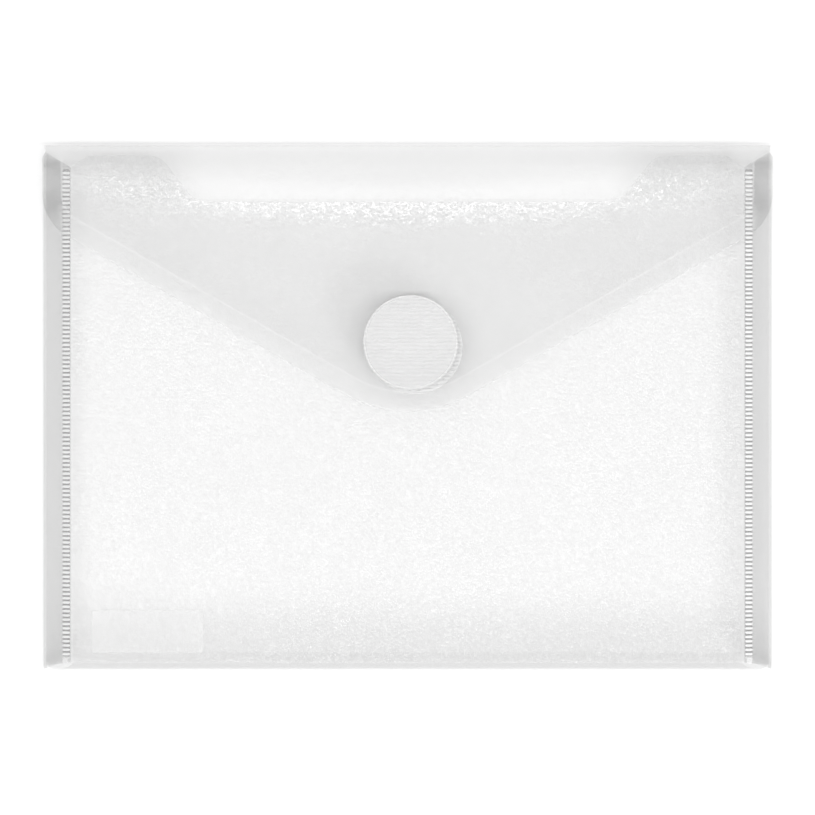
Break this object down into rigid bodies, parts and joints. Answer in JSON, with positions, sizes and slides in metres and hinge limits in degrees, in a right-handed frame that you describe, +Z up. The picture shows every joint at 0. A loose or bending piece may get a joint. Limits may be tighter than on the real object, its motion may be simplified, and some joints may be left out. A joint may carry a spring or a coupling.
{
  "type": "document wallet",
  "caption": "Clear landscape document wallet with a pointed flap, welded side seams and a round hook-and-loop closure.",
  "frame": {"origin": "on the table under the middle of the closed wallet", "axes": "+X along the mouth to the right, +Y from the bottom fold to the top fold, +Z up from the back panel to the flap"},
  "size_m": [0.17, 0.122, 0.0078],
  "materials": {
    "film": "clear frosted polypropylene film with a fine grain",
    "flap_film": "clear frosted polypropylene film with a fine grain and an embossed line along its edge",
    "weld": "clear film pressed into a bright ribbed weld",
    "hook_field": "white woven nylon with fine hooks",
    "loop_pile": "white brushed nylon loop pile",
    "adhesive": "clear pressure-sensitive adhesive",
    "label": "blank pale label film"
  },
  "bodies": {
    "back": {"back_panel": "film", "bottom_fold": "film", "right_wing": "film", "left_wing": "film", "right_flange": "film", "left_flange": "film", "right_seam": "weld", "left_seam": "weld"},
    "spine": {"top_spine": "film"},
    "flap": {"flap_panel": "flap_film", "loop_adhesive": "adhesive", "loop_disc": "loop_pile"},
    "front": {"front_panel": "film", "hook_adhesive": "adhesive", "hook_disc": "hook_field", "blank_label": "label"}
  },
  "joints": [
    {"name": "spine_fold", "type": "hinge", "parent": "back", "child": "spine", "pos_m": [0, 0.06085, 0.00015], "axis": [-1, 0, 0], "range_deg": [0, 90]},
    {"name": "flap_fold", "type": "hinge", "parent": "spine", "child": "flap", "pos_m": [0, 0.06085, 0.0077], "axis": [-1, 0, 0], "range_deg": [0, 90]},
    {"name": "pocket_open", "type": "hinge", "parent": "back", "child": "front", "pos_m": [0, -0.0594, 0.00505], "axis": [1, 0, 0], "range_deg": [0, 5]}
  ],
  "couplings": [
    {"joint": "pocket_open", "follows": "spine_fold", "ratio": 0.055556}
  ]
}
